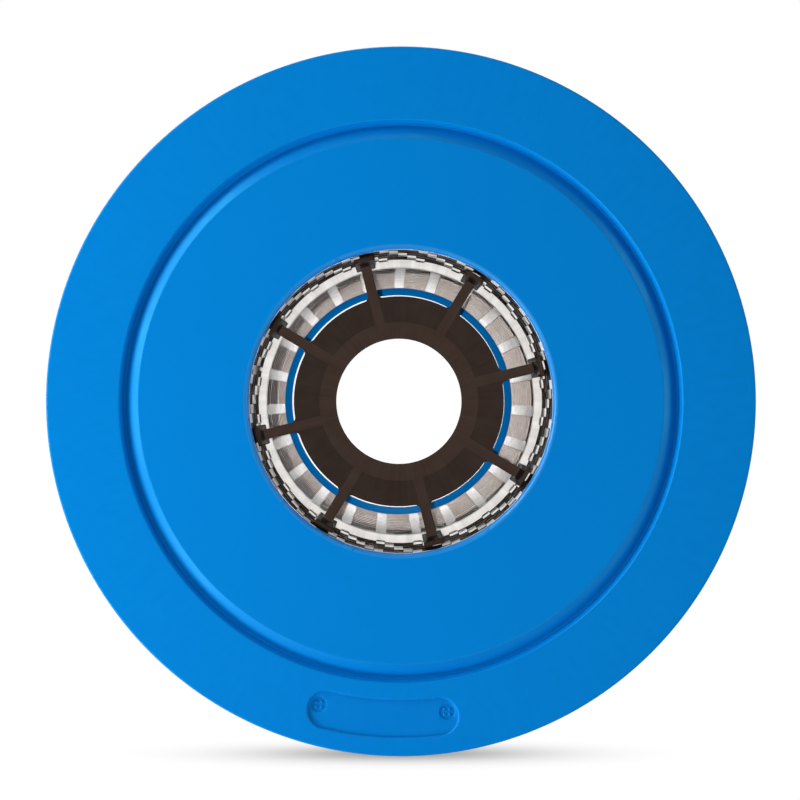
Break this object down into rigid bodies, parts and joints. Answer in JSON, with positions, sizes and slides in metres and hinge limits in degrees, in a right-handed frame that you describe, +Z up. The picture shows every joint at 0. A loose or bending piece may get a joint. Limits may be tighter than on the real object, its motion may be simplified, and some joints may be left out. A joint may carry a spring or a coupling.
{
  "type": "pleated filter cartridge",
  "caption": "Long pleated filter cartridge with cast blue end caps, a ring groove in each face, a round bore through a slotted core and a dark spoked spider inside the front end.",
  "frame": {"origin": "on the floor under the middle of the cartridge, which lies on its side", "axes": "+Z up; the cartridge's axis lies along Y, and -Y points out of the front end, which has the bare plate and the spider"},
  "size_m": [0.1778, 0.711, 0.1778],
  "materials": {
    "cap_urethane": "satin cast urethane",
    "core_plastic": "moulded, satin",
    "dark_plastic": "moulded, satin",
    "filter_fabric": "spunbonded polyester",
    "band_strap": "woven strap"
  },
  "bodies": {
    "root": {"front_end_cap": "cap_urethane", "rear_end_cap": "cap_urethane", "core_section_1": "core_plastic", "core_section_2": "core_plastic", "core_section_3": "core_plastic", "core_section_4": "core_plastic", "core_section_5": "core_plastic", "stop_ring": "core_plastic", "sleeve": "dark_plastic", "spider": "dark_plastic", "pleated_media": "filter_fabric", "seam_clip": "core_plastic", "band_1": "band_strap", "band_2": "band_strap", "band_3": "band_strap"}
  },
  "joints": []
}
